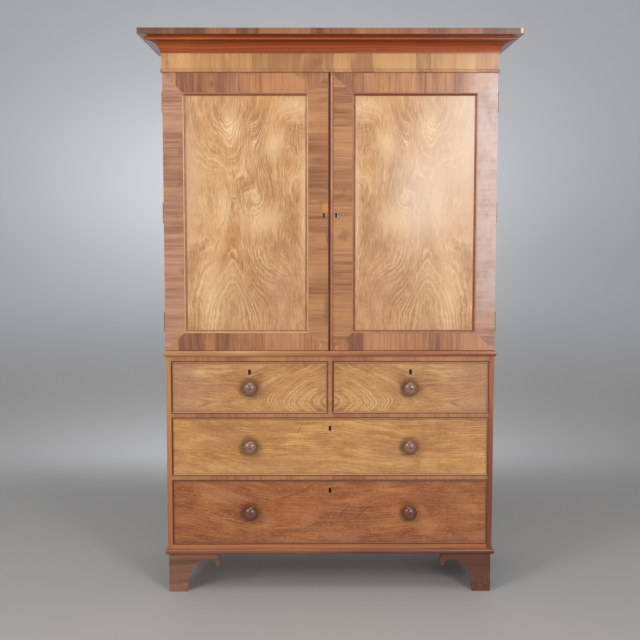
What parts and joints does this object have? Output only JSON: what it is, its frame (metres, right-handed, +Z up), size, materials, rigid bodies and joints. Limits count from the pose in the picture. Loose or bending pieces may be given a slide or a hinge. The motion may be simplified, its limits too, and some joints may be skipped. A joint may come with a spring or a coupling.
{
  "type": "linen press",
  "caption": "Tall two-part mahogany linen press: panelled cupboard with trays and moulded cornice on a chest of drawers with bracket feet.",
  "frame": {"origin": "on the floor, at the middle of the overall width and depth", "axes": "+Z up; the doors and drawers face -Y; +X to the viewer's right"},
  "size_m": [1.391, 0.622, 2.101],
  "materials": {
    "case_mahogany": "french polished mahogany",
    "moulding_mahogany": "french polished mahogany, long grain",
    "frieze_veneer": "polished figured veneer",
    "fascia_crossband": "polished crossbanded veneer",
    "rail_crossband": "polished crossbanded veneer",
    "foot_mahogany": "worn polished mahogany",
    "door_frame_crossband": "polished crossbanded veneer",
    "door_panel_veneer": "polished figured veneer",
    "drawer_front_veneer": "polished figured veneer",
    "drawer_oak": "bare oak",
    "carcass_softwood": "bare pine",
    "knob_wood": "dark polished turned wood",
    "brass": "aged",
    "steel": "aged"
  },
  "bodies": {
    "case": {"base_side_left": "case_mahogany", "base_side_right": "case_mahogany", "base_top_board": "carcass_softwood", "base_bottom_board": "carcass_softwood", "base_back_boards": "carcass_softwood", "base_front_rails": "rail_crossband", "short_drawer_partition": "rail_crossband", "drawer_runners": "carcass_softwood", "waist_moulding": "moulding_mahogany", "plinth_moulding": "moulding_mahogany", "front_left_foot": "foot_mahogany", "front_right_foot": "foot_mahogany", "back_left_foot": "foot_mahogany", "back_right_foot": "foot_mahogany", "upper_side_left": "case_mahogany", "upper_side_right": "case_mahogany", "upper_top_board": "carcass_softwood", "upper_bottom_board": "carcass_softwood", "upper_back_boards": "carcass_softwood", "tray_runners": "carcass_softwood", "linen_trays": "drawer_oak", "cornice_frieze": "frieze_veneer", "cornice_moulding": "moulding_mahogany", "cornice_fascia": "fascia_crossband", "fixed_hinge_leaves": "brass"},
    "left_door": {"left_door_hinge_stile": "door_frame_crossband", "left_door_lock_stile": "door_frame_crossband", "left_door_rails": "door_frame_crossband", "left_door_panel": "door_panel_veneer", "left_door_panel_moulding": "moulding_mahogany", "left_door_hinges": "brass"},
    "right_door": {"right_door_hinge_stile": "door_frame_crossband", "right_door_lock_stile": "door_frame_crossband", "right_door_rails": "door_frame_crossband", "right_door_panel": "door_panel_veneer", "right_door_panel_moulding": "moulding_mahogany", "right_door_hinges": "brass", "right_door_astragal": "moulding_mahogany", "right_door_lock": "steel"},
    "right_door_bolt": {"right_door_lock_bolt": "steel"},
    "upper_left_drawer": {"upper_left_drawer_front": "drawer_front_veneer", "upper_left_drawer_box": "drawer_oak", "upper_left_drawer_knobs": "knob_wood", "upper_left_drawer_lock": "brass"},
    "upper_left_drawer_bolt": {"upper_left_drawer_lock_bolt": "brass"},
    "upper_right_drawer": {"upper_right_drawer_front": "drawer_front_veneer", "upper_right_drawer_box": "drawer_oak", "upper_right_drawer_knobs": "knob_wood", "upper_right_drawer_lock": "brass"},
    "upper_right_drawer_bolt": {"upper_right_drawer_lock_bolt": "brass"},
    "middle_drawer": {"middle_drawer_front": "drawer_front_veneer", "middle_drawer_box": "drawer_oak", "middle_drawer_knobs": "knob_wood", "middle_drawer_lock": "brass"},
    "middle_drawer_bolt": {"middle_drawer_lock_bolt": "brass"},
    "lower_drawer": {"lower_drawer_front": "drawer_front_veneer", "lower_drawer_box": "drawer_oak", "lower_drawer_knobs": "knob_wood", "lower_drawer_lock": "brass"},
    "lower_drawer_bolt": {"lower_drawer_lock_bolt": "brass"}
  },
  "joints": [
    {"name": "left_door_hinge", "type": "hinge", "parent": "case", "child": "left_door", "pos_m": [-0.6193, -0.2105, 1.439], "axis": [0, 0, -1], "range_deg": [0, 170]},
    {"name": "right_door_hinge", "type": "hinge", "parent": "case", "child": "right_door", "pos_m": [0.6193, -0.2105, 1.439], "axis": [0, 0, 1], "range_deg": [0, 170]},
    {"name": "right_door_bolt_slide", "type": "slide", "parent": "right_door", "child": "right_door_bolt", "axis": [-1, 0, 0], "range_m": [0, 0.013]},
    {"name": "upper_left_drawer_slide", "type": "slide", "parent": "case", "child": "upper_left_drawer", "axis": [0, -1, 0], "range_m": [0, 0.38]},
    {"name": "upper_left_drawer_bolt_slide", "type": "slide", "parent": "upper_left_drawer", "child": "upper_left_drawer_bolt", "axis": [0, 0, 1], "range_m": [0, 0.008]},
    {"name": "upper_right_drawer_slide", "type": "slide", "parent": "case", "child": "upper_right_drawer", "axis": [0, -1, 0], "range_m": [0, 0.38]},
    {"name": "upper_right_drawer_bolt_slide", "type": "slide", "parent": "upper_right_drawer", "child": "upper_right_drawer_bolt", "axis": [0, 0, 1], "range_m": [0, 0.008]},
    {"name": "middle_drawer_slide", "type": "slide", "parent": "case", "child": "middle_drawer", "axis": [0, -1, 0], "range_m": [0, 0.38]},
    {"name": "middle_drawer_bolt_slide", "type": "slide", "parent": "middle_drawer", "child": "middle_drawer_bolt", "axis": [0, 0, 1], "range_m": [0, 0.008]},
    {"name": "lower_drawer_slide", "type": "slide", "parent": "case", "child": "lower_drawer", "axis": [0, -1, 0], "range_m": [0, 0.38]},
    {"name": "lower_drawer_bolt_slide", "type": "slide", "parent": "lower_drawer", "child": "lower_drawer_bolt", "axis": [0, 0, 1], "range_m": [0, 0.008]}
  ]
}
